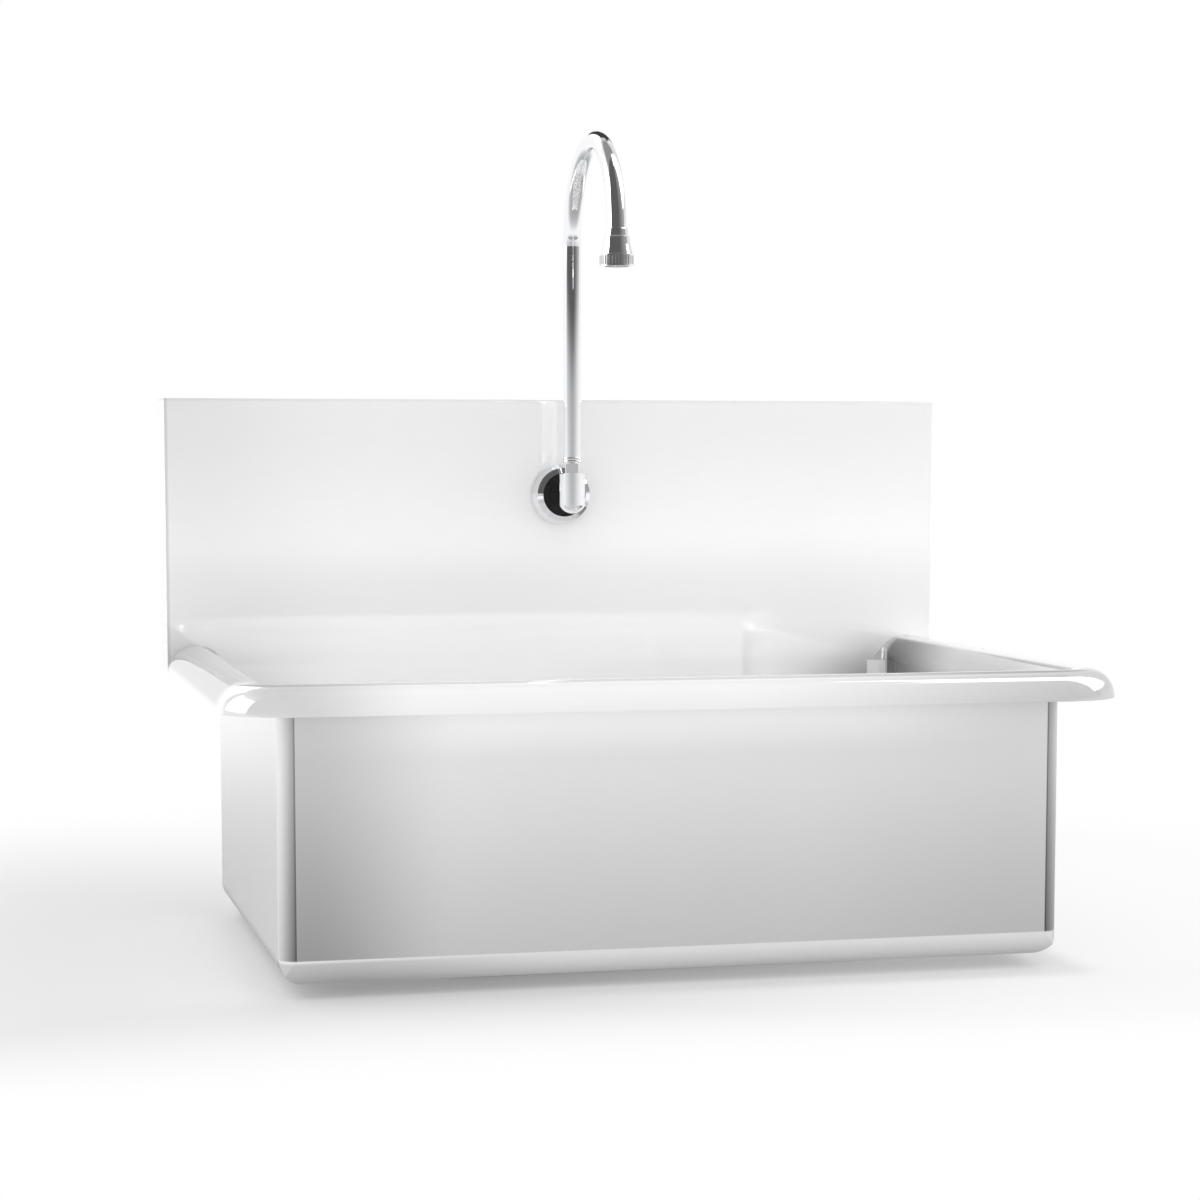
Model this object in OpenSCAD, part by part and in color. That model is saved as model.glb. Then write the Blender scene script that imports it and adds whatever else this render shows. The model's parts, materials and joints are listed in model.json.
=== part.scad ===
// Wall-hung surgical scrub sink: one station, formed stainless bowl and
// boxed backsplash, swinging gooseneck spout with a spray head.
// Frame: Y = 0 is the wall, the front faces -Y, X = 0 is the middle, and
// Z = 0 is the line of the wall hanger's two bolts.

/* [Sheet metal] */
// Thickness of the stainless sheet
sheet = 1.5; // [1.2:0.1:2]
// Outside radius of the backsplash's folded edges
fold_r = 3; // [2.5:0.5:6]

/* [Backsplash] */
// Height of the backsplash above the rim
splash_h = 256; // [200:1:360]
// Depth of the backsplash box, from its face to the wall
splash_d = 76; // [68:1:110]
// Height of the turned-down flange along the top of the back
back_flange_h = 16; // [10:1:18]

/* [Bowl] */
// Width of the bowl over its side walls
bowl_w = 733; // [560:1:900]
// Front-to-back length of the bowl, from the backsplash face
bowl_l = 507; // [420:1:600]
// Depth of the bowl, from the top of the rim to its underside
bowl_h = 272; // [200:1:360]
// Outside radius of the bowl's upright corners
corner_r = 14.5; // [10:0.5:30]
// Outside radius of the long bottom bends at front and back
front_bend_r = 24; // [16:0.5:36]
// Outside radius of the bottom bends at the two ends
end_bend_r = 25; // [16:0.5:36]
// Width of the reveal beside each upright front seam
reveal_w = 1.2; // [0.6:0.1:2]
// Depth of the reveal beside each upright front seam
reveal_d = 0.7; // [0.3:0.1:0.9]

/* [Rolled rim] */
// How far the rim stands out from the bowl wall
rim_out = 52.5; // [36:0.5:70]
// Width of the turned-in lip along the rim's outer edge
rim_lip = 6; // [3:0.5:10]

/* [Corner gussets] */
// Width of each gusset along the back wall
gusset_w = 18.5; // [17.5:0.5:24]
// Reach of each gusset along the side wall
gusset_reach = 14.5; // [12:0.5:20]
// Height of each gusset
gusset_h = 60; // [30:1:100]
// Width of the finger on top of each gusset
finger_w = 2.2; // [1.5:0.1:4]
// Height of the finger on top of each gusset
finger_h = 13; // [6:0.5:14]

/* [Wall fixing] */
// Distance from the top of the backsplash down to the hanger bolts
hanger_drop = 70; // [62:1:90]
// Length of the wall hanger
hanger_w = 560; // [460:1:640]
// Thickness of the wall hanger and of the rail that hooks on it
hanger_t = 3; // [2.5:0.1:3.4]
// Height of the hanger's ledge above its bolts
ledge_z = 25; // [18:1:32]
// Height of the hanger below its bolts
hanger_below = 28; // [18:1:40]
// Spacing of the two upper wall bolts
upper_pitch = 406.4; // [300:0.1:450]
// Spacing of the two lower wall bolts
lower_pitch = 609.6; // [400:0.1:660]
// Diameter of the wall bolt holes
bolt_hole_d = 9; // [6.5:0.5:11]
// Height of the lower wall flange
lower_flange_h = 32; // [24:1:44]

/* [Drain] */
// Diameter of the drain body's tube
drain_d = 47; // [44:0.5:54]
// Diameter of the drain's flange in the bowl
drain_flange_d = 84; // [76:1:96]
// Thickness of the drain's flange
drain_flange_t = 2.6; // [2.4:0.1:4]
// Length of the drain body below the bowl
drain_len = 17; // [16:0.5:40]
// Diameter of the tailpiece
tail_d = 38.1; // [36:0.1:40]
// How far the tailpiece stands out below its nut
tail_len = 20; // [16:1:60]
// Diameter of the lift-out strainer
strainer_d = 62; // [58:1:68]
// Thickness of the strainer
strainer_t = 1.4; // [1:0.1:1.6]
// Diameter of the strainer's holes
strainer_hole_d = 4; // [3:0.1:4.2]

/* [Spout] */
// Height of the spout's wall flange above the rim
spout_up = 155.5; // [80:0.5:170]
// Distance from the backsplash face to the riser's axis
arm_reach = 58; // [54:0.5:90]
// Outside diameter of the spout tube
tube_d = 19.05; // [18.5:0.05:20]
// Wall thickness of the spout tube
tube_wall = 1.2; // [0.8:0.1:1.4]
// Height from the flange's axis to the centre of the bend
riser_h = 257.7; // [150:0.1:320]
// Radius of the tube's bend along its axis
bend_r = 98; // [60:1:110]
// Diameter of the wall flange at the backsplash
flange_d = 63; // [60:1:76]
// Diameter of the wall flange's open mouth
flange_mouth_d = 46; // [42:1:47]
// Width of the bevel round the wall flange's mouth
flange_bevel_w = 5.5; // [3:0.5:5.5]
// Depth of the wall flange
flange_depth = 20; // [16:0.5:24]
// Thickness of the wall flange's shell
flange_wall = 1.5; // [1:0.1:2.5]
// Diameter of the elbow's upright barrel
barrel_d = 26.8; // [25:0.1:32]
// Height of the barrel above the flange's axis
barrel_up = 22.2; // [20:0.1:30]
// Depth of the barrel below the flange's axis, with its dome
barrel_down = 19.1; // [17:0.1:26]
// Height of the barrel's domed end
dome_h = 8.5; // [4:0.1:11]
// Diameter of the elbow's level arm
arm_d = 26; // [25:0.1:28]

/* [Swivel] */
// Diameter of the swivel nut
nut_d = 19.5; // [18:0.1:22]
// Size of the swivel nut across its flats
nut_flats = 14.6; // [14:0.1:17]
// Height of the swivel nut
nut_h = 11.5; // [8:0.1:16]
// Diameter of the swivel stem
stem_d = 10.4; // [9:0.1:11.5]
// Diameter of the barrel's bore
barrel_bore_d = 16; // [15:0.1:17]
// Diameter of each bead round the collar
bead_d = 2.9; // [2:0.1:3]
// Outside diameter over the collar's beads
collar_d = 21.2; // [20.8:0.1:24]

/* [Spray head] */
// Height of the bell
bell_h = 25; // [20:0.5:34]
// Diameter of the bell's neck
neck_d = 21.2; // [20.6:0.1:24]
// Diameter of the bell below its step
step_d = 25.4; // [24:0.1:27]
// Diameter of the bell's lower edge
bell_d = 31.5; // [30.8:0.1:36]
// Outside diameter of the knurled ring
ring_d = 33.4; // [32:0.1:40]
// Height of the knurled ring
ring_h = 12; // [9:0.1:18]
// Number of grooves round the knurled ring
knurl_count = 30; // [16:1:40]
// Diameter of each groove of the knurl
knurl_d = 1.7; // [1:0.1:2]
// Diameter of each hole in the spray plate
jet_d = 1.4; // [1:0.1:1.8]

/* [Supply] */
// Outside diameter of the threaded supply shank
shank_d = 21; // [20:0.1:22]
// Bore of the supply shank
shank_bore_d = 13; // [11:0.1:15]
// Distance from the shank's end to the wall
shank_stop = 26; // [20:1:30]

/* [Hidden] */
$fn = 96;

steel = "gainsboro";
chrome = "lightsteelblue";
bright = "silver";
dark_rubber = "dimgray";
fibre = "burlywood";

// Clearances: between pieces that turn or slide, and between pieces that only sit together
run_fit = 0.05;
screw_fit = 0.1;
stand_off = 0.3;
cut = 1;

// Levels and faces of the sheet metal
rim_top = hanger_drop - splash_h;
splash_top = hanger_drop;
roll_r = (rim_out + sheet) / 2;
wall_top = rim_top - roll_r;
bowl_bottom = rim_top - bowl_h;
bowl_floor = bowl_bottom + sheet;
splash_y = -splash_d;
splash_back = splash_y + sheet;
bowl_front = splash_y - bowl_l;
half_w = bowl_w / 2;
splash_half = half_w + rim_out;
inner_corner_r = corner_r - sheet;
seam_x = half_w - corner_r;
roll_x = half_w - sheet + roll_r;
sweep_r = inner_corner_r + roll_r;
front_corner_y = bowl_front + corner_r;
back_corner_y = splash_y - inner_corner_r;

// Levels and places of the spout
axis_z = rim_top + spout_up;
riser_y = splash_y - arm_reach;
outlet_y = riser_y - 2 * bend_r;
bend_z = axis_z + riser_h;
barrel_top = axis_z + barrel_up;
nut_top = barrel_top + nut_h;
tube_bore_d = tube_d - 2 * tube_wall;
seal_t = 1;
plug_depth = 4;
socket_depth = 14;
arm_end = splash_y - seal_t - cut;
shank_front = arm_end - socket_depth;
shank_back = -shank_stop;
plate_t = 3;
plate_w = 90;
plate_back = splash_back + plate_t;
shank_washer_t = 1.5;
nut_back = plate_back + shank_washer_t + 8;

// Swivel: the stem's head turns in the barrel under the nut's spigot
nut_turn = -13;
nut_collar_h = 0.8;
spigot_h = 8;
head_top = barrel_top - spigot_h - stand_off;
head_h = 11;
head_d = barrel_bore_d - 2 * stand_off;
groove_w = 2.6;
groove_d = head_d - 3.8;
o_ring_t = (barrel_bore_d - 2 * run_fit - groove_d) / 2;
waterway_d = 7;
stem_flange_t = 1;
tube_foot = nut_top + stand_off + stem_flange_t;
plug_h = 16;
collar_h = 2 * bead_d;

// Spray head
neck_over = 4;
bell_top = bend_z + neck_over;
bell_bottom = bell_top - bell_h;
ring_bottom = bell_bottom - ring_h;
step_h = 16.5;
skirt_d = bell_d - 2.4;
skirt_h = 7;
bell_bore_d = skirt_d - 3.4;
jet_plate_t = 2;
spray_gasket_t = 1;
plate_top = bell_bottom - skirt_h - spray_gasket_t;
plate_bottom = plate_top - jet_plate_t;
ring_lip_in = skirt_d - 5;
head_fn = 64;

// Drain
drain_y = splash_y - bowl_l / 2;
drain_hole_d = drain_d + 2 * stand_off;
drain_bore_d = drain_d - 5;
drain_end = bowl_bottom - drain_len;
gasket_t = 3;
washer_t = 1;
locknut_h = 6;
tail_flange_t = 1;
tail_nut_h = 7;
tail_nut_floor = 2;
tail_washer_t = 1;
pad_t = 3;

// Plain shapes shared by several pieces

module rounded_rect(x0, y0, x1, y1, r) {
    translate([x0 + r, y0]) square([x1 - x0 - 2 * r, y1 - y0]);
    translate([x0, y0 + r]) square([x1 - x0, y1 - y0 - 2 * r]);
    for (x = [x0 + r, x1 - r], y = [y0 + r, y1 - r]) translate([x, y]) circle(r);
}

// Upright rectangle whose two lower corners are round
module trough_outline(x0, x1, z0, z1, r) {
    translate([x0, z0 + r]) square([x1 - x0, z1 - z0 - r]);
    translate([x0 + r, z0]) square([x1 - x0 - 2 * r, r + cut]);
    for (x = [x0 + r, x1 - r]) translate([x, z0 + r]) circle(r);
}

// Draws a YZ outline and carries it along X, from x0 to x1
module along_x(x0, x1) {
    translate([x0, 0, 0]) rotate([90, 0, 90]) linear_extrude(x1 - x0) children();
}

// Draws an XZ outline and carries it along Y, from y0 to y1
module along_y(y0, y1) {
    translate([0, y1, 0]) rotate([90, 0, 0]) linear_extrude(y1 - y0) children();
}

// Round bar between two levels
module rod(d, z0, z1) {
    translate([0, 0, z0]) cylinder(d = d, h = z1 - z0);
}

// Round bar along Y on the spout's axis, between two depths
module level_rod(d, y0, y1) {
    translate([0, y1, axis_z]) rotate([90, 0, 0]) cylinder(d = d, h = y1 - y0);
}

module tube_ring(d_out, d_in, z0, z1) {
    difference() {
        rod(d_out, z0, z1);
        rod(d_in, z0 - cut, z1 + cut);
    }
}

module level_ring(d_out, d_in, y0, y1) {
    difference() {
        level_rod(d_out, y0, y1);
        level_rod(d_in, y0 - cut, y1 + cut);
    }
}

module hex_bar(flats, z0, z1) {
    translate([0, 0, z0]) cylinder(d = flats / cos(30), h = z1 - z0, $fn = 6);
}

module at_drain() {
    translate([0, drain_y, 0]) children();
}

module at_riser() {
    translate([0, riser_y, 0]) children();
}

module at_outlet() {
    translate([0, outlet_y, 0]) children();
}

// Backsplash box

module splash_outline(inset) {
    rounded_rect(splash_y + inset, wall_top - 2 * fold_r, -inset, splash_top - inset, fold_r - inset);
}

module backsplash_panel() {
    color(steel) difference() {
        along_x(-splash_half, splash_half) difference() {
            splash_outline(0);
            splash_outline(sheet);
            translate([splash_y - cut, wall_top - 3 * fold_r]) square([splash_d + 2 * cut, 3 * fold_r]);
            translate([-sheet - cut, wall_top - cut])
                square([sheet + 2 * cut, splash_top - back_flange_h - wall_top + cut]);
        }
        level_rod(shank_d + 2 * stand_off, splash_y - cut, splash_back + cut);
    }
}

module backsplash_end() {
    color(steel) along_x(splash_half - sheet, splash_half) difference() {
        splash_outline(sheet);
        translate([splash_y - cut, wall_top - 3 * fold_r]) square([splash_d + 2 * cut, 3 * fold_r]);
    }
}

module backsplash_end_left() { mirror([1, 0, 0]) backsplash_end(); }

module backsplash_end_right() { backsplash_end(); }

module backsplash_base() {
    lower_half = lower_pitch / 2 + 2.5 * bolt_hole_d;
    inside = splash_half - sheet;
    color(steel) difference() {
        union() {
            translate([-inside, splash_back, wall_top]) cube([2 * inside, -sheet - splash_back, sheet]);
            translate([-lower_half, -sheet, wall_top - lower_flange_h])
                cube([2 * lower_half, sheet, lower_flange_h + sheet]);
        }
        for (side = [-1, 1])
            translate([side * lower_pitch / 2, cut, wall_top - lower_flange_h / 2])
                rotate([90, 0, 0]) cylinder(d = bolt_hole_d, h = sheet + 2 * cut);
    }
}

// Wall hanger, notched for the supply pipe, and the rail that hooks on it

module wall_hanger() {
    lip_y = -3 * hanger_t;
    lip_h = 20;
    notch_w = shank_d + 40;
    notch_h = 20;
    color(bright) difference() {
        along_x(-hanger_w / 2, hanger_w / 2) {
            translate([-hanger_t, -hanger_below]) square([hanger_t, hanger_below + ledge_z + hanger_t]);
            translate([lip_y, ledge_z]) square([-lip_y, hanger_t]);
            translate([lip_y, ledge_z]) square([hanger_t, hanger_t + lip_h]);
        }
        for (side = [-1, 1])
            translate([side * upper_pitch / 2, cut, 0])
                rotate([90, 0, 0]) cylinder(d = bolt_hole_d, h = hanger_t + 2 * cut);
        translate([-notch_w / 2, -hanger_t - cut, -hanger_below - cut])
            cube([notch_w, hanger_t + 2 * cut, notch_h + cut]);
    }
}

module hanger_rail() {
    rail_y = -2 * hanger_t + stand_off;
    rail_depth = 26;
    rail_top = splash_top - sheet;
    rail_t = hanger_t - 2 * stand_off;
    rail_half = hanger_w / 2 + 30;
    color(bright) along_x(-rail_half, rail_half) {
        translate([rail_y, ledge_z + hanger_t]) square([rail_t, rail_top - ledge_z - hanger_t]);
        translate([rail_y - rail_depth, rail_top - rail_t]) square([rail_depth + rail_t, rail_t]);
    }
}

module faucet_plate() {
    color(bright) difference() {
        translate([-plate_w / 2, splash_back, axis_z - plate_w / 2]) cube([plate_w, plate_t, plate_w]);
        level_rod(shank_d + 2 * stand_off, splash_back - cut, plate_back + cut);
    }
}

// Bowl: three round-cornered outlines crossed, hollowed by the same three inset

module bowl_shape(inset, top) {
    x = half_w - inset;
    y0 = bowl_front + inset;
    y1 = splash_back - inset;
    z0 = bowl_bottom + inset;
    intersection() {
        translate([0, 0, z0]) linear_extrude(top - z0) rounded_rect(-x, y0, x, y1, corner_r - inset);
        along_x(-x, x) trough_outline(y0, y1, z0, top, front_bend_r - inset);
        along_y(y0, y1) trough_outline(-x, x, z0, top, end_bend_r - inset);
    }
}

module bowl_shell() {
    difference() {
        bowl_shape(0, wall_top);
        bowl_shape(sheet, wall_top + front_bend_r);
        at_drain() rod(drain_hole_d, bowl_bottom - cut, bowl_floor + cut);
    }
}

module bowl_slice(x0, x1) {
    translate([x0, bowl_front - cut, bowl_bottom - cut])
        cube([x1 - x0, bowl_l + sheet + 2 * cut, bowl_h + 2 * cut]);
}

module bowl_wrap() {
    color(steel) intersection() {
        bowl_shell();
        bowl_slice(-seam_x, seam_x);
    }
}

module bowl_end() {
    reveal_foot = bowl_bottom + front_bend_r;
    color(steel) difference() {
        intersection() {
            bowl_shell();
            bowl_slice(seam_x, half_w + cut);
        }
        translate([seam_x - cut, bowl_front - cut, reveal_foot])
            cube([reveal_w + cut, reveal_d + cut, bowl_h]);
    }
}

module bowl_end_left() { mirror([1, 0, 0]) bowl_end(); }

module bowl_end_right() { bowl_end(); }

// Rolled rim: a half-round shell that starts on the bowl's wall

module roll_outline() {
    difference() {
        circle(roll_r);
        circle(roll_r - sheet);
        translate([-roll_r - cut, -roll_r - cut]) square([2 * (roll_r + cut), roll_r + cut]);
    }
    translate([roll_r - rim_lip, 0]) square([rim_lip - sheet / 2, sheet]);
}

module rim_front() {
    color(steel) translate([seam_x, bowl_front + sheet - roll_r, wall_top])
        rotate([90, 0, -90]) linear_extrude(2 * seam_x) roll_outline();
}

module rolled_corner() {
    rotate_extrude(angle = 90) translate([sweep_r, 0]) roll_outline();
}

module rim_side() {
    color(steel) {
        translate([roll_x, back_corner_y, wall_top])
            rotate([90, 0, 0]) linear_extrude(back_corner_y - front_corner_y) roll_outline();
        intersection() {
            translate([seam_x, back_corner_y, wall_top]) rolled_corner();
            translate([seam_x, back_corner_y, wall_top])
                cube([sweep_r + 2 * roll_r, inner_corner_r, 2 * roll_r]);
        }
    }
}

module rim_left() { mirror([1, 0, 0]) rim_side(); }

module rim_right() { rim_side(); }

module rim_corner() {
    color(steel) translate([seam_x, front_corner_y, wall_top]) rotate([0, 0, -90]) rolled_corner();
}

module rim_corner_left() { mirror([1, 0, 0]) rim_corner(); }

module rim_corner_right() { rim_corner(); }

// Gusset up each back corner of the bowl, with a finger at its side edge
module corner_gusset() {
    wall_x = half_w - sheet;
    crease_in = inner_corner_r * 0.41;
    color(steel) {
        intersection() {
            bowl_shape(sheet, wall_top);
            translate([0, 0, wall_top - gusset_h]) linear_extrude(gusset_h) polygon([
                [wall_x - gusset_w, splash_y + cut],
                [wall_x - gusset_w, splash_y - sheet],
                [wall_x - crease_in, splash_y - crease_in],
                [wall_x - sheet, splash_y - gusset_reach],
                [wall_x + cut, splash_y - gusset_reach],
                [wall_x + cut, splash_y + cut]
            ]);
        }
        translate([wall_x - finger_w, splash_y - gusset_reach, wall_top - gusset_h / 2])
            cube([finger_w, sheet, gusset_h / 2 + finger_h]);
    }
}

module corner_gusset_left() { mirror([1, 0, 0]) corner_gusset(); }

module corner_gusset_right() { corner_gusset(); }

module sound_pad() {
    pad_x = half_w * 0.55;
    pad_y = bowl_l * 0.32;
    color(dark_rubber) difference() {
        translate([0, 0, bowl_bottom - pad_t]) linear_extrude(pad_t)
            rounded_rect(-pad_x, drain_y - pad_y, pad_x, drain_y + pad_y, corner_r);
        at_drain() rod(drain_flange_d + 8 * pad_t, bowl_bottom - pad_t - cut, bowl_bottom + cut);
    }
}

// Drain

module drain_body() {
    flange_top = bowl_floor + drain_flange_t;
    color(bright) at_drain() difference() {
        union() {
            translate([0, 0, bowl_floor]) rotate_extrude() polygon([
                [0, 0], [drain_flange_d / 2, 0], [drain_flange_d / 2, drain_flange_t / 3],
                [drain_flange_d / 2 - drain_flange_t, drain_flange_t], [0, drain_flange_t]
            ]);
            rod(drain_d, drain_end, bowl_floor + cut);
        }
        rod(strainer_d + 2 * stand_off, flange_top - strainer_t, flange_top + cut);
        rod(drain_bore_d, drain_end - cut, flange_top);
    }
}

module drain_gasket() {
    color(dark_rubber) at_drain()
        tube_ring(drain_flange_d - 12, drain_hole_d, bowl_bottom - gasket_t, bowl_bottom);
}

module drain_washer() {
    z1 = bowl_bottom - gasket_t;
    color(fibre) at_drain() tube_ring(drain_flange_d - 12, drain_hole_d, z1 - washer_t, z1);
}

module drain_locknut() {
    z1 = bowl_bottom - gasket_t - washer_t;
    color(bright) at_drain() difference() {
        hex_bar(drain_d + 14, z1 - locknut_h, z1);
        rod(drain_d + 2 * screw_fit, z1 - locknut_h - cut, z1 + cut);
    }
}

module drain_strainer() {
    flange_top = bowl_floor + drain_flange_t;
    z0 = flange_top - strainer_t;
    skirt_d_out = drain_bore_d - 2 * stand_off;
    skirt_drop = 5;
    rings = [[6, 0.2], [12, 0.38], [18, 0.56], [24, 0.74]];
    color(chrome) at_drain() {
        difference() {
            rod(strainer_d, z0, flange_top);
            for (ring = rings, i = [0 : ring[0] - 1])
                rotate([0, 0, i * 360 / ring[0]])
                    translate([ring[1] * drain_bore_d / 2, 0, 0])
                        rod(strainer_hole_d, z0 - cut, flange_top + cut);
        }
        tube_ring(skirt_d_out, skirt_d_out - 2.4, z0 - skirt_drop, z0);
        rod(3, flange_top, flange_top + 3);
        translate([0, 0, flange_top + 4]) sphere(d = 7);
    }
}

module tailpiece() {
    nut_bottom = drain_end - tail_flange_t - tail_washer_t - tail_nut_floor;
    tail_bottom = nut_bottom - tail_len;
    bead_h = 1.5;
    color(bright) at_drain() difference() {
        union() {
            rod(tail_d, tail_bottom, drain_end - tail_flange_t / 2);
            rod(drain_d - 1, drain_end - tail_flange_t, drain_end);
            rod(tail_d + 2, nut_bottom - stand_off - bead_h, nut_bottom - stand_off);
        }
        rod(tail_d - 2 * tube_wall, tail_bottom - cut, drain_end + cut);
    }
}

module tail_washer() {
    z1 = drain_end - tail_flange_t;
    color(dark_rubber) at_drain() tube_ring(drain_d - 1, tail_d + 2 * screw_fit, z1 - tail_washer_t, z1);
}

module tail_nut() {
    floor_z = drain_end - tail_flange_t - tail_washer_t;
    bottom = floor_z - tail_nut_floor;
    color(bright) at_drain() difference() {
        hex_bar(drain_d + 8, bottom, bottom + tail_nut_h);
        rod(drain_d + 2 * screw_fit, floor_z, bottom + tail_nut_h + cut);
        rod(tail_d + 2 * screw_fit, bottom - cut, floor_z + cut);
    }
}

// Wall flange, elbow and supply shank

// Cone with a bevelled mouth, drawn as half its section
module wall_flange() {
    back_r = flange_d / 2;
    mouth_r = flange_mouth_d / 2;
    bevel_r = mouth_r + flange_bevel_w;
    bevel_z = flange_depth - flange_bevel_w * 2 / 3;
    inside_r = back_r - flange_wall - 1;
    color(chrome) translate([0, splash_y - seal_t, axis_z]) rotate([90, 0, 0]) rotate_extrude() polygon([
        [back_r - flange_wall, 0], [back_r, 0], [back_r, 1.5], [back_r - 1, plug_depth],
        [bevel_r, bevel_z], [mouth_r, flange_depth], [mouth_r, flange_depth - flange_wall],
        [bevel_r - flange_wall, bevel_z - flange_wall / 2], [inside_r, plug_depth], [inside_r, 1.5]
    ]);
}

// The seal's plug grips the flange from inside and fills it round the arm
module flange_seal() {
    plug_d = flange_d - 2 * flange_wall - 2 - 2 * screw_fit;
    plug_y = splash_y - seal_t - plug_depth;
    color(dark_rubber) difference() {
        union() {
            level_rod(flange_d - 1, splash_y - seal_t, splash_y);
            level_rod(plug_d, plug_y, splash_y);
        }
        level_rod(shank_d + 2 * stand_off, plug_y, splash_y + cut);
        level_rod(arm_d + 2 * screw_fit, plug_y - cut, splash_y - seal_t);
    }
}

module spout_elbow() {
    dome_r = (pow(barrel_d / 2, 2) + pow(dome_h, 2)) / (2 * dome_h);
    barrel_foot = axis_z - barrel_down;
    color(chrome) difference() {
        union() {
            at_riser() translate([0, 0, barrel_foot]) rotate_extrude() {
                intersection() {
                    translate([0, dome_r]) circle(dome_r);
                    square([barrel_d / 2, dome_h]);
                }
                translate([0, dome_h]) square([barrel_d / 2, barrel_up + barrel_down - dome_h]);
            }
            level_rod(arm_d, riser_y, arm_end);
        }
        at_riser() rod(barrel_bore_d, axis_z - shank_bore_d / 2 - 1.5, barrel_top + cut);
        level_rod(shank_bore_d, riser_y, arm_end + cut);
        level_rod(shank_d + 2 * screw_fit, shank_front, arm_end + cut);
    }
}

// The groove parts the locknut's thread from the inlet's
module supply_shank() {
    groove_y = nut_back + 2;
    color(bright) difference() {
        level_ring(shank_d, shank_bore_d, shank_front, shank_back);
        level_ring(shank_d + cut, shank_d - 2, groove_y, groove_y + 2);
    }
}

module shank_washer() {
    color(bright)
        level_ring(shank_d + 20, shank_d + 2 * stand_off, plate_back, plate_back + shank_washer_t);
}

module shank_locknut() {
    nut_front = plate_back + shank_washer_t;
    color(bright) difference() {
        translate([0, nut_back, axis_z]) rotate([90, 0, 0]) hex_bar(shank_d + 11, 0, nut_back - nut_front);
        level_rod(shank_d + 2 * screw_fit, nut_front - cut, nut_back + cut);
    }
}

// Swivel

module swivel_nut() {
    color(chrome) at_riser() difference() {
        union() {
            intersection() {
                rod(nut_d, barrel_top, nut_top);
                union() {
                    rotate([0, 0, nut_turn]) translate([-nut_flats / 2, -nut_flats / 2, barrel_top])
                        cube([nut_flats, nut_flats, nut_h]);
                    rod(nut_d, barrel_top, barrel_top + nut_collar_h);
                    rod(nut_d, nut_top - nut_collar_h, nut_top);
                }
            }
            rod(barrel_bore_d - 2 * screw_fit, barrel_top - spigot_h, barrel_top);
        }
        rod(stem_d + 2 * run_fit, barrel_top - spigot_h - cut, nut_top + cut);
    }
}

module swivel_stem() {
    color(bright) at_riser() difference() {
        union() {
            rod(head_d, head_top - head_h, head_top);
            rod(stem_d, head_top - cut, nut_top + 2 * stand_off);
            rod(tube_d - 0.5, nut_top + stand_off, tube_foot);
            rod(tube_bore_d - 2 * run_fit, tube_foot - cut / 2, tube_foot + plug_h);
        }
        for (z = o_ring_levels())
            tube_ring(head_d + cut, groove_d, z - groove_w / 2, z + groove_w / 2);
        rod(waterway_d, head_top - head_h - cut, tube_foot + plug_h + cut);
    }
}

function o_ring_levels() = [head_top - head_h * 0.3, head_top - head_h * 0.7];

module swivel_o_rings() {
    color(dark_rubber) at_riser() for (z = o_ring_levels())
        translate([0, 0, z]) rotate_extrude()
            translate([(groove_d + o_ring_t) / 2, 0]) circle(d = o_ring_t - 0.04, $fn = 32);
}

module spout_collar() {
    foot = nut_top + stand_off;
    bore_d = tube_d + 2 * run_fit;
    color(chrome) at_riser() difference() {
        union() {
            rod(collar_d - bead_d / 2, foot, foot + collar_h);
            for (z = [foot + bead_d / 2, foot + 1.5 * bead_d])
                translate([0, 0, z]) rotate_extrude()
                    translate([(collar_d - bead_d) / 2, 0]) circle(d = bead_d, $fn = 32);
        }
        rod(bore_d, foot - cut, foot + collar_h + cut);
    }
}

module tube_section() {
    difference() {
        circle(d = tube_d);
        circle(d = tube_bore_d);
    }
}

module gooseneck_tube() {
    color(chrome) {
        at_riser() translate([0, 0, tube_foot]) linear_extrude(bend_z - tube_foot) tube_section();
        translate([0, riser_y - bend_r, bend_z]) rotate([90, 0, 90])
            rotate_extrude(angle = 180) translate([bend_r, 0]) tube_section();
    }
}

// Spray head

module spray_bell() {
    color(chrome) at_outlet() difference() {
        union() {
            translate([0, 0, bell_bottom]) rotate_extrude() polygon([
                [0, 0], [bell_d / 2, 0], [step_d / 2 + 0.9, step_h * 0.55], [step_d / 2, step_h],
                [(neck_d + 1.6) / 2, step_h + 1.2], [neck_d / 2, bell_h - 0.6],
                [neck_d / 2 - 0.4, bell_h], [0, bell_h]
            ]);
            rod(skirt_d, bell_bottom - skirt_h, bell_bottom + cut);
        }
        rod(tube_d + 2 * stand_off, bend_z - stand_off, bell_top + cut);
        rod(tube_bore_d, bell_bottom, bend_z);
        rod(bell_bore_d, bell_bottom - skirt_h - cut, bell_bottom + 2);
    }
}

module spray_gasket() {
    color(dark_rubber) at_outlet()
        tube_ring(skirt_d - 1, bell_bore_d + 0.4, plate_top, plate_top + spray_gasket_t);
}

module spray_plate() {
    rings = [[6, 0.3], [12, 0.6], [18, 0.88]];
    color(bright) at_outlet() difference() {
        rod(skirt_d - 1, plate_bottom, plate_top);
        rod(jet_d, plate_bottom - cut, plate_top + cut);
        for (ring = rings, i = [0 : ring[0] - 1])
            rotate([0, 0, (i + 0.5) * 360 / ring[0]])
                translate([ring[1] * (ring_lip_in / 2 - jet_d), 0, 0])
                    rod(jet_d, plate_bottom - cut, plate_top + cut);
    }
}

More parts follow.
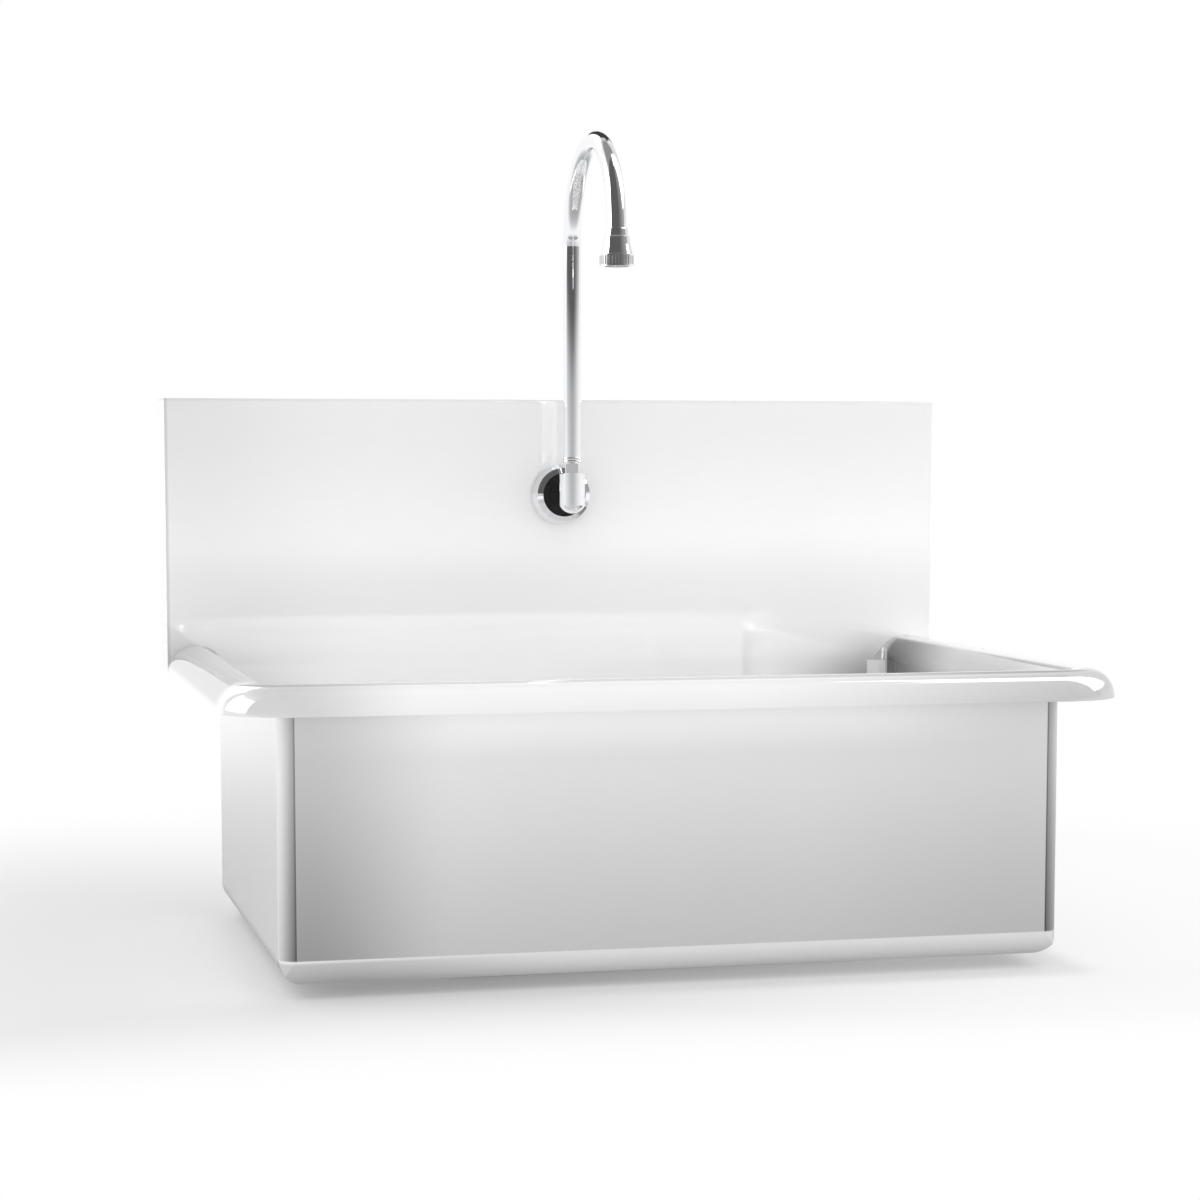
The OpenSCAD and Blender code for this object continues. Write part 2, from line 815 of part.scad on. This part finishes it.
module spray_ring() {
    color(chrome) at_outlet() difference() {
        union() {
            rod(ring_d, ring_bottom + 0.8, bell_bottom - stand_off);
            rod(ring_d - 1.6, ring_bottom, bell_bottom - stand_off);
        }
        rod(skirt_d + 2 * run_fit, plate_bottom - stand_off, bell_bottom + cut);
        rod(ring_lip_in, ring_bottom - cut, bell_bottom);
        for (i = [0 : knurl_count - 1])
            rotate([0, 0, i * 360 / knurl_count])
                translate([ring_d / 2 + knurl_d * 0.2, 0, 0])
                    rod(knurl_d, ring_bottom + 2, bell_bottom - stand_off - 1.4, $fn = 24);
    }
}

backsplash_panel();
backsplash_end_left();
backsplash_end_right();
backsplash_base();
hanger_rail();
wall_hanger();
faucet_plate();
bowl_wrap();
bowl_end_left();
bowl_end_right();
rim_front();
rim_left();
rim_right();
rim_corner_left();
rim_corner_right();
corner_gusset_left();
corner_gusset_right();
sound_pad();
drain_body();
drain_gasket();
drain_washer();
drain_locknut();
drain_strainer();
tailpiece();
tail_washer();
tail_nut();
wall_flange();
flange_seal();
spout_elbow();
supply_shank();
shank_washer();
shank_locknut();
swivel_nut();
swivel_stem();
swivel_o_rings();
spout_collar();
gooseneck_tube();
spray_bell();
spray_gasket();
spray_plate();
spray_ring();
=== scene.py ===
"""Looks of the wall-hung scrub sink: satin stainless bowl and backsplash, chrome gooseneck spout."""
import json
import math

import bpy
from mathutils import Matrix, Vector


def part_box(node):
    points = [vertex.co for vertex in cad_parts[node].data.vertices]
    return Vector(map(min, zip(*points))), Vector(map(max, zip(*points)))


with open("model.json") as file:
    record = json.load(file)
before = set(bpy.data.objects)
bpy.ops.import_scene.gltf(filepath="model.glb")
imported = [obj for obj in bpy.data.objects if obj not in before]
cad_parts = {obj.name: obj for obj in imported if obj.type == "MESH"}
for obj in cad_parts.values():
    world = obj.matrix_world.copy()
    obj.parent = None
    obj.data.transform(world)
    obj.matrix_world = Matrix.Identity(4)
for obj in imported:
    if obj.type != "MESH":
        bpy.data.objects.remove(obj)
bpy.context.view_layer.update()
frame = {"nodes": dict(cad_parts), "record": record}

scene = bpy.context.scene

# Camera: the photograph's view, with its principal point below the middle of the frame
CAMERA_PLACE = Vector((-0.665, -3.051, 0.0084))
CAMERA_YAW = 13.4
CAMERA_PITCH = -5.57
CAMERA_LENS = 85.2
CAMERA_SHIFT = 0.1125
CAMERA_SENSOR = 36
CAMERA_REACH = 60

# Places on the bowl and the backsplash, taken from the frame
FOOT_RISE = 0.024
SEAM_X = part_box("bowl_wrap")[1].x
BOWL_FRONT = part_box("bowl_wrap")[0].y
WALL_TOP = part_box("bowl_wrap")[1].z
FOOT_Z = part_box("bowl_wrap")[0].z + FOOT_RISE
SPLASH_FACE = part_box("backsplash_panel")[0].y
CORNER_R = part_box("bowl_end_right")[1].x - SEAM_X
RIM_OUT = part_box("rim_right")[1].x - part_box("bowl_end_right")[1].x
SPLASH_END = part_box("backsplash_panel")[1].x
DRAIN_Y = sum(c.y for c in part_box("tailpiece")) / 2
HALF_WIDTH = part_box("bowl_end_right")[1].x
HALF_DEPTH = (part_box("bowl_wrap")[1].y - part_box("bowl_wrap")[0].y) / 2

# Depths between which the masks for the backsplash's face begin
FACE_FROM = SPLASH_FACE - 0.0003
FACE_TO = SPLASH_FACE - 0.0001

# Nodes that wear the bowl's sheet
BOWL_NODES = (
    "backsplash_panel",
    "bowl_wrap",
    "bowl_end_left",
    "bowl_end_right",
    "rim_left",
    "rim_right",
    "rim_front",
    "rim_corner_left",
    "rim_corner_right",
)

# Floor: a little under the bowl, open around the drain, in rings out to its edge
FLOOR_GAP = 0.012
FLOOR_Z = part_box("bowl_wrap")[0].z - FLOOR_GAP
FLOOR_HOLE = 0.09
FLOOR_RADIUS = 14.0
FLOOR_RINGS = (FLOOR_HOLE, 0.6, 1.5, 4.0, FLOOR_RADIUS)
FLOOR_SEGMENTS = 96

# Soft lights of the sky: side, tightness and strength
LIGHTS = (
    ((0.1, -0.95, 0.3), 2.0, 0.95),
    ((0.0, 0.4, 0.92), 2.0, 0.86),
    ((-1.0, -0.1, 0.1), 2.0, 0.27),
)

# Dark levels of the room that glossy rays see
ROOM_DARK = 0.11
ROOM_DARKEST = 0.05

# Its bright boxes, left, right and back: azimuth from, to and softness, then height from, to and softness
BOX_STRENGTH = 3.5
BOXES = (
    ((-127, -80, 1.5), (5, 44, 1.5)),
    ((74, 118, 1.5), (20, 69.8, 0.8)),
    ((-171, -142, 1.5), (22, 46, 1.5)),
)

# Even finishes: colour, metal, scale and detail of the grain, roughness from and to
FINISHES = {
    "plain_steel": ((0.66, 0.66, 0.66, 1), 1.0, 300.0, 3.0, 0.28, 0.42),
    "polished_chrome": ((0.93, 0.935, 0.95, 1), 1.0, 90.0, 2.0, 0.02, 0.035),
    "black_rubber": ((0.03, 0.03, 0.03, 1), 0.0, 400.0, 2.0, 0.6, 0.8),
    "fibre": ((0.5, 0.27, 0.14, 1), 0.0, 500.0, 3.0, 0.7, 0.9),
}

WHITE = (1, 1, 1, 1)
DEGREES = 180 / math.pi


def add_camera():
    """The photograph's camera."""
    data = bpy.data.cameras.new("camera")
    camera = bpy.data.objects.new("camera", data)
    scene.collection.objects.link(camera)
    camera.location = CAMERA_PLACE
    camera.rotation_euler = (math.radians(90 + CAMERA_PITCH), 0, math.radians(-CAMERA_YAW))
    data.lens = CAMERA_LENS
    data.sensor_width = CAMERA_SENSOR
    data.shift_y = CAMERA_SHIFT
    data.clip_end = CAMERA_REACH
    scene.camera = camera


class Nodes:
    """Builds node trees from short expressions."""

    def __init__(self, tree):
        self.tree = tree
        tree.nodes.clear()

    def add(self, kind, inputs=None, **settings):
        """A node with its settings, and with its inputs linked or set."""
        node = self.tree.nodes.new(kind)
        for key, value in settings.items():
            setattr(node, key, value)
        for key, value in (inputs or {}).items():
            if isinstance(value, bpy.types.NodeSocket):
                self.tree.links.new(value, node.inputs[key])
            else:
                node.inputs[key].default_value = value
        return node

    def math(self, operation, *values):
        """Result of one sum, product or other operation."""
        node = self.add("ShaderNodeMath", dict(enumerate(values)), operation=operation)
        return node.outputs[0]

    def times(self, first, *others):
        """Product of two or more numbers."""
        product = first
        for other in others:
            product = self.math("MULTIPLY", product, other)
        return product

    def step(self, value, low, high, start=0.0, end=1.0):
        """Smooth step from start to end as value goes from low to high."""
        node = self.add(
            "ShaderNodeMapRange",
            {"Value": value, "From Min": low, "From Max": high, "To Min": start, "To Max": end},
            interpolation_type="SMOOTHSTEP",
        )
        return node.outputs["Result"]

    def slope(self, value, low, high, start=0.0, end=1.0):
        """Straight ramp from start to end as value goes from low to high."""
        node = self.add(
            "ShaderNodeMapRange",
            {"Value": value, "From Min": low, "From Max": high, "To Min": start, "To Max": end},
        )
        return node.outputs["Result"]

    def mix(self, factor, a, b):
        """Blends two numbers."""
        node = self.add("ShaderNodeMix", {"Factor": factor, "A": a, "B": b}, data_type="FLOAT")
        return node.outputs["Result"]

    def glow(self, ray, side, power, strength):
        """Light from one side of the sky, tighter as the power grows."""
        towards = Vector(side).normalized()
        facing = self.add("ShaderNodeVectorMath", {0: ray, 1: towards}, operation="DOT_PRODUCT")
        lobe = self.math("POWER", self.math("MAXIMUM", facing.outputs["Value"], 0.0), power)
        return self.times(lobe, strength)

    def apart(self, place, other):
        """Distance between two places."""
        return self.add("ShaderNodeVectorMath", {0: place, 1: other}, operation="DISTANCE").outputs["Value"]

    def beyond(self, value, middle, half):
        """How far value lies outside a stretch given by its middle and half its width."""
        apart = self.math("ABSOLUTE", self.math("SUBTRACT", value, middle))
        return self.math("MAXIMUM", self.math("SUBTRACT", apart, half), 0.0)

    def grey(self, level):
        """Grey colour of a given level."""
        return self.add("ShaderNodeCombineColor", {"Red": level, "Green": level, "Blue": level}).outputs[0]

    def band(self, value, low, high, soft):
        """1 between low and high, 0 outside, with soft edges."""
        rise = self.step(value, low - soft, low + soft)
        fall = self.step(value, high - soft, high + soft, 1.0, 0.0)
        return self.times(rise, fall)

    def noise(self, place, scale, detail):
        """Noise of a given scale and detail."""
        node = self.add("ShaderNodeTexNoise", {"Vector": place, "Scale": scale, "Detail": detail})
        return node.outputs["Fac"]

    def place(self):
        """Place on the surface, in the object's own space."""
        return self.add("ShaderNodeTexCoord").outputs["Object"]

    def axes(self, place):
        """The three numbers of a place or a direction."""
        return self.add("ShaderNodeSeparateXYZ", {"Vector": place}).outputs


def new_material(name):
    """An empty material and the builder of its nodes."""
    material = bpy.data.materials.new(name)
    material.use_nodes = True
    return material, Nodes(material.node_tree)


def mirrored_room(n, axes, height):
    """What glossy rays see: a room darker in front, overhead and behind, with three bright boxes."""
    azimuth = n.times(n.math("ARCTAN2", axes["X"], n.times(axes["Y"], -1.0)), DEGREES)
    from_back = n.times(n.math("ARCTAN2", axes["X"], axes["Y"]), DEGREES)

    front = n.band(azimuth, -86, 88, 8)
    turn = n.math("ABSOLUTE", n.math("ADD", azimuth, 12.0))
    dusk = n.times(n.step(n.math("SUBTRACT", height, n.times(turn, 0.08)), -9, 0.5), 0.6)
    night = n.times(n.step(n.math("SUBTRACT", height, n.times(turn, 0.015)), 0.6, 3.0), 0.4)
    above = n.times(front, n.math("ADD", dusk, night), n.step(azimuth, 5, 75, 1.0, 0.72))
    overhead = n.step(height, 45, 62, 0.0, 0.8)
    right_wall = n.times(n.band(azimuth, 66, 146, 5), n.step(height, 0, 12, 0.0, 0.25))
    dark = n.math("MAXIMUM", n.math("MAXIMUM", above, overhead), right_wall)
    behind = n.times(n.band(from_back, -7, 30, 3), n.band(height, 19, 50, 3))
    room = n.mix(behind, n.mix(dark, 1.0, ROOM_DARK), ROOM_DARKEST)

    boxes = 0.0
    for across, upward in BOXES:
        boxes = n.math("ADD", boxes, n.times(n.band(azimuth, *across), n.band(height, *upward)))
    return n.math("ADD", room, n.times(boxes, BOX_STRENGTH))


def add_world():
    """White to the camera, a soft sky as light, and a room of its own to glossy rays."""
    world = bpy.data.worlds.new("studio")
    world.use_nodes = True
    scene.world = world
    n = Nodes(world.node_tree)
    ray = n.add("ShaderNodeTexCoord").outputs["Generated"]
    axes = n.axes(ray)
    height = n.times(n.math("ARCSINE", axes["Z"]), DEGREES)

    soft = n.step(height, 4, 16, 1.18, 0.43)
    for side, power, amount in LIGHTS:
        soft = n.math("ADD", soft, n.glow(ray, side, power, amount))
    path = n.add("ShaderNodeLightPath").outputs
    seen = n.mix(path["Is Glossy Ray"], soft, mirrored_room(n, axes, height))
    strength = n.mix(path["Is Camera Ray"], seen, 1.0)
    background = n.add("ShaderNodeBackground", {"Color": WHITE, "Strength": strength})
    n.add("ShaderNodeOutputWorld", {"Surface": background.outputs[0]})


def floor_mesh():
    """Flat rings around the drain."""
    verts, faces = [], []
    for r in FLOOR_RINGS:
        for i in range(FLOOR_SEGMENTS):
            a = 2 * math.pi * i / FLOOR_SEGMENTS
            verts.append((r * math.cos(a), DRAIN_Y + r * math.sin(a), FLOOR_Z))
    for k in range(len(FLOOR_RINGS) - 1):
        for i in range(FLOOR_SEGMENTS):
            j = (i + 1) % FLOOR_SEGMENTS
            a, b = k * FLOOR_SEGMENTS, (k + 1) * FLOOR_SEGMENTS
            faces.append((a + i, b + i, b + j, a + j))
    mesh = bpy.data.meshes.new("floor")
    mesh.from_pydata(verts, [], faces)
    return mesh


def floor_material():
    """To the camera pale grey near the sink and white further off, with a painted shadow on the left and
    painted light on the right; to other rays a glow of painted bounce light, dimmer near the sink.
    """
    material, n = new_material("floor")
    place = n.place()
    axes = n.axes(place)
    away = n.apart(place, (0, DRAIN_Y, FLOOR_Z))
    beside = n.beyond(axes["X"], 0.0, HALF_WIDTH)
    before = n.beyond(axes["Y"], DRAIN_Y, HALF_DEPTH)
    clear = n.math("SQRT", n.math("ADD", n.math("POWER", beside, 2.0), n.math("POWER", before, 2.0)))

    far = n.step(away, 0.45, 1.3)
    ahead = n.step(axes["Y"], -0.95, -0.55, 1.0, 0.0)
    # Painted light: towards the right the floor is lifted towards white, less so right beside the bowl
    right = n.times(n.step(axes["X"], -0.35, 0.35, 0.0, 0.65), n.step(clear, 0.01, 0.05, 0.3, 1.0))
    lift = n.math("MAXIMUM", n.math("MAXIMUM", far, ahead), right)
    # Painted shadow: the near floor's grey is darker towards the left
    near = n.add("ShaderNodeBsdfDiffuse", {"Color": n.grey(n.step(axes["X"], -0.6, -0.25, 0.74, 0.87))})
    white = n.add("ShaderNodeEmission", {"Color": WHITE, "Strength": 1.0})
    shown = n.add("ShaderNodeMixShader", {0: lift, 1: near.outputs[0], 2: white.outputs[0]})

    # To other rays the floor glows as painted bounce light: dim near the sink as painted shade, brighter
    # off the left end, and to glossy rays darker near the sink and far in front
    path = n.add("ShaderNodeLightPath").outputs
    lit = n.step(clear, 0.0, 1.2, n.step(axes["X"], -0.5, -0.3, 1.45, 0.38), 1.4)
    sheen = n.step(clear, 0.0, 2.6, 0.36, 1.0)
    distant = n.step(axes["Y"], -6.0, -3.0, n.step(axes["Y"], -13.0, -7.0, 0.65, 0.35), 1.0)
    level = n.mix(path["Is Glossy Ray"], lit, n.times(sheen, distant))
    bounce = n.add("ShaderNodeEmission", {"Color": WHITE, "Strength": level})
    direct = path["Is Camera Ray"]
    both = n.add("ShaderNodeMixShader", {0: direct, 1: bounce.outputs[0], 2: shown.outputs[0]})
    n.add("ShaderNodeOutputMaterial", {"Surface": both.outputs[0]})
    return material


def add_floor():
    """Flat floor just under the bowl, open where the drain passes."""
    mesh = floor_mesh()
    floor = bpy.data.objects.new("floor", mesh)
    scene.collection.objects.link(floor)
    mesh.materials.append(floor_material())


def past_side(n, axes):
    """How far a place lies outside the bowl's side walls, negative inside them."""
    return n.math("SUBTRACT", n.math("ABSOLUTE", axes["X"]), HALF_WIDTH)


def on_face(n, axes):
    """1 on the backsplash's face and behind it, 0 in front."""
    return n.step(axes["Y"], FACE_FROM, FACE_TO)


def before_face(n, axes):
    """1 in front of the backsplash's face, 0 on it and behind."""
    return n.step(axes["Y"], FACE_FROM, FACE_TO, 1.0, 0.0)


def seam_shade(n, axes):
    """Painted shade and reflection: a darker blend on the bowl's upright corners, towards the seams of the
    front panel.
    """
    outside = n.math("SUBTRACT", n.math("ABSOLUTE", axes["X"]), SEAM_X)
    across = n.slope(outside, 0.0, CORNER_R, 0.34, n.slope(axes["Z"], FOOT_Z, WALL_TOP, 0.74, 0.9))
    lower = n.slope(axes["Z"], FOOT_Z, WALL_TOP, 0.42, 1.0)
    dark = n.times(across, n.mix(n.slope(outside, 0.0, CORNER_R), lower, 1.0))
    on_end = n.step(outside, -0.0003, 0.0001)
    at_front = n.step(axes["Y"], BOWL_FRONT + CORNER_R * 0.7, BOWL_FRONT + CORNER_R, 1.0, 0.0)
    on_wall = n.band(axes["Z"], FOOT_Z, WALL_TOP, 0.001)
    return n.mix(n.times(on_end, at_front, on_wall), 1.0, dark)


def panel_shade(n, axes):
    """Painted shade and reflection: the flat front panel darkens towards its foot and its two ends, and
    painted light makes it lighter just under the rim in its middle.
    """
    lower = n.slope(axes["Z"], FOOT_Z, WALL_TOP - 0.03, 0.72, 0.81)
    upper = n.step(n.math("ABSOLUTE", axes["X"]), 0.15, SEAM_X, 1.06, 0.9)
    upright = n.mix(n.step(axes["Z"], WALL_TOP - 0.05, WALL_TOP), lower, upper)
    left = n.step(axes["X"], -SEAM_X, -0.2, n.slope(axes["Z"], FOOT_Z, WALL_TOP, 0.52, 0.72), 1.0)
    ends = n.times(left, n.step(axes["X"], 0.08, SEAM_X, 1.0, 0.9))
    on_wall = n.band(axes["Z"], FOOT_Z, WALL_TOP, 0.0005)
    outside = n.step(axes["Y"], BOWL_FRONT + 0.0005, BOWL_FRONT + 0.001, 1.0, 0.0)
    within = n.step(n.math("ABSOLUTE", axes["X"]), SEAM_X, SEAM_X + 0.0002, 1.0, 0.0)
    return n.mix(n.times(on_wall, outside, within), 1.0, n.times(upright, ends))


def foot_shade(n, axes):
    """Painted shade: the long bend under the front panel darkens towards its left end."""
    left = n.step(axes["X"], -0.36, -0.08, 0.65, 1.0)
    below = n.step(axes["Z"], FOOT_Z - 0.004, FOOT_Z, 1.0, 0.0)
    at_front = n.step(axes["Y"], BOWL_FRONT + 0.02, BOWL_FRONT + 0.03, 1.0, 0.0)
    return n.mix(n.times(below, at_front), 1.0, left)


def corner_shade(n, axes):
    """Soft shade on the bowl's back wall, beside its two upright corners."""
    within = n.math("SUBTRACT", HALF_WIDTH, n.math("ABSOLUTE", axes["X"]))
    dark = n.step(within, 0.0, 0.14, n.step(axes["X"], -0.1, 0.1, 0.8, 0.5), 1.0)
    below = n.step(axes["Z"], WALL_TOP - 0.02, WALL_TOP + 0.03, 1.0, 0.0)
    return n.mix(n.times(below, on_face(n, axes)), 1.0, dark)


def side_shade(n, axes):
    """Painted shade and reflection inside the bowl's two side walls and the inner part of their rims,
    deepest at the back.
    """
    beside = past_side(n, axes)
    ahead = n.math("SUBTRACT", SPLASH_FACE, axes["Y"])
    right = n.step(ahead, 0.03, 0.22, 0.17, 0.74)
    crease = n.mix(n.step(ahead, 0.03, 0.07), n.step(axes["Z"], WALL_TOP, WALL_TOP + 0.01, 0.4, 1.0), 1.0)
    right = n.math("MAXIMUM", n.times(right, crease), n.step(ahead, 0.004, 0.02, 0.62, 0.0))
    left = n.step(ahead, 0.0, 0.12, 0.75, 0.95)
    dark = n.mix(n.step(ahead, 0.34, 0.5), n.mix(n.step(axes["X"], -0.1, 0.1), left, right), 1.0)
    on_rim = n.step(beside, RIM_OUT * 0.2, RIM_OUT * 0.32, 1.0, 0.0)
    on_wall = n.band(beside, -0.02, -0.0008, 0.0003)
    inside = n.mix(n.step(axes["Z"], WALL_TOP - 0.0002, WALL_TOP + 0.0002), on_wall, on_rim)
    high = n.step(axes["Z"], FOOT_Z, FOOT_Z + 0.1)
    return n.mix(n.times(inside, high, before_face(n, axes)), 1.0, dark)


def splash_shade(n, axes):
    """Painted shade on the backsplash: darker towards its top and its left end, most at the lower left
    corner, with a thin painted dark line along its left edge; painted light makes it a little lighter low
    down.
    """
    edge = n.step(axes["X"], -SPLASH_END + 0.0015, -SPLASH_END + 0.004, 0.8, 1.0)
    end = n.step(axes["X"], -SPLASH_END, -0.2, 0.86, 1.0)
    left = n.times(edge, end, n.step(axes["X"], -0.1, 0.15, 0.95, 1.0))
    corner = n.step(axes["X"], -SPLASH_END, -0.37, n.step(axes["Z"], -0.2, -0.14, 0.8, 1.0), 1.0)
    high = n.step(axes["Z"], -0.12, 0.06, 1.04, 0.92)
    on_splash = n.times(on_face(n, axes), n.step(axes["Z"], WALL_TOP, WALL_TOP + 0.01))
    return n.mix(on_splash, 1.0, n.times(left, corner, high))


def front_rim_shade(n, axes):
    """Painted shade: the front rim darkens towards both of its ends."""
    right = n.step(axes["X"], 0.02, SPLASH_END, 1.0, 0.62)
    left = n.step(axes["X"], -HALF_WIDTH, -0.24, 0.7, 1.0)
    on_front = n.step(axes["Y"], BOWL_FRONT - RIM_OUT / 4, BOWL_FRONT, 1.0, 0.0)
    on_rim = n.step(axes["Z"], WALL_TOP - 0.01, WALL_TOP, 0.0, 1.0)
    return n.mix(n.times(on_front, on_rim), 1.0, n.times(left, right))


def rim_shade(n, axes):
    """Painted shade and reflection: the two side rims are darker than the sheet, the left one most, and
    most on its outer side.
    """
    beside = past_side(n, axes)
    on_rim = n.times(n.step(axes["Z"], WALL_TOP, WALL_TOP + 0.01), n.step(beside, -0.002, 0.004))
    behind = n.step(axes["Y"], BOWL_FRONT - 0.005, BOWL_FRONT + 0.03)
    here = n.times(on_rim, before_face(n, axes), behind)
    left = n.step(beside, RIM_OUT * 0.45, RIM_OUT * 0.65, 0.8, 0.62)
    return n.mix(here, 1.0, n.mix(n.step(axes["X"], -0.1, 0.1), left, 0.92))


def outer_wall_shade(n, axes):
    """Painted shade: the bowl's two outer side walls are darker towards their tops."""
    upright = n.band(axes["Z"], FOOT_Z, WALL_TOP, 0.001)
    on_wall = n.times(n.step(past_side(n, axes), -0.0006, -0.0002), upright)
    return n.mix(on_wall, 1.0, n.slope(axes["Z"], FOOT_Z, WALL_TOP, 1.0, 0.9))


def small_piece_shade(n, axes):
    """Painted shade: the small pieces and the end caps are darker than the bowl, most low down."""
    return n.step(axes["Z"], WALL_TOP - 0.05, WALL_TOP + 0.2, 0.82, 0.9)


# Shade and reflection seen in the photo, as factors on the bowl's colour; with none it is the plain sheet
BOWL_SHADES = (
    seam_shade,
    panel_shade,
    foot_shade,
    corner_shade,
    side_shade,
    splash_shade,
    front_rim_shade,
    rim_shade,
    outer_wall_shade,
)


def steel_finish(name, shades):
    """Bright stainless sheet: mostly soft, a little mirror, with a fine level grain and faint smudges."""
    material, n = new_material(name)
    place = n.place()
    axes = n.axes(place)
    drawn = n.add("ShaderNodeVectorMath", {0: place, 1: (0.03, 1.0, 1.0)}, operation="MULTIPLY").outputs[0]
    grain = n.noise(drawn, 1400.0, 2.0)
    smudge = n.noise(place, 9.0, 4.0)
    rough = n.math("ADD", n.step(grain, 0.3, 0.7, 0.012, 0.022), n.step(smudge, 0.35, 0.7, 0.0, 0.012))
    tone_and_painted_shade = n.times(n.step(smudge, 0.3, 0.7, 0.955, 0.945), n.step(grain, 0.3, 0.7, 0.985, 1.0))
    # The shade masks multiply in painted shade, light and reflection
    for shade in shades:
        tone_and_painted_shade = n.times(tone_and_painted_shade, shade(n, axes))
    shader = n.add(
        "ShaderNodeBsdfPrincipled",
        {"Base Color": n.grey(tone_and_painted_shade), "Metallic": 0.2, "Roughness": rough},
    )
    n.add("ShaderNodeOutputMaterial", {"Surface": shader.outputs[0]})
    return material


def even_finish(name, colour, metal, scale, detail, smoothest, roughest):
    """One colour, with a fine grain in its roughness."""
    material, n = new_material(name)
    rough = n.step(n.noise(n.place(), scale, detail), 0.3, 0.7, smoothest, roughest)
    shader = n.add(
        "ShaderNodeBsdfPrincipled",
        {"Base Color": colour, "Metallic": metal, "Roughness": rough},
    )
    n.add("ShaderNodeOutputMaterial", {"Surface": shader.outputs[0]})
    return material


def dress():
    """Gives the bowl's nodes the bowl's sheet, and every other node the finish of its slot."""
    # satin_steel carries the painted shade of the small pieces and end caps
    made = {"satin_steel": steel_finish("satin_steel", [small_piece_shade])}
    for slot, finish in FINISHES.items():
        made[slot] = even_finish(slot, *finish)
    # The bowl's material carries the painted shade and reflection of BOWL_SHADES
    bowl = steel_finish("bowl_steel_painted_shade", BOWL_SHADES)
    for part in frame["record"]["subparts"]:
        node = frame["nodes"][part["node"]]
        node.data.materials.clear()
        node.data.materials.append(bowl if part["node"] in BOWL_NODES else made[part["material_slot"]])


add_camera()
add_world()
add_floor()
dress()
scene.view_settings.view_transform = "Standard"
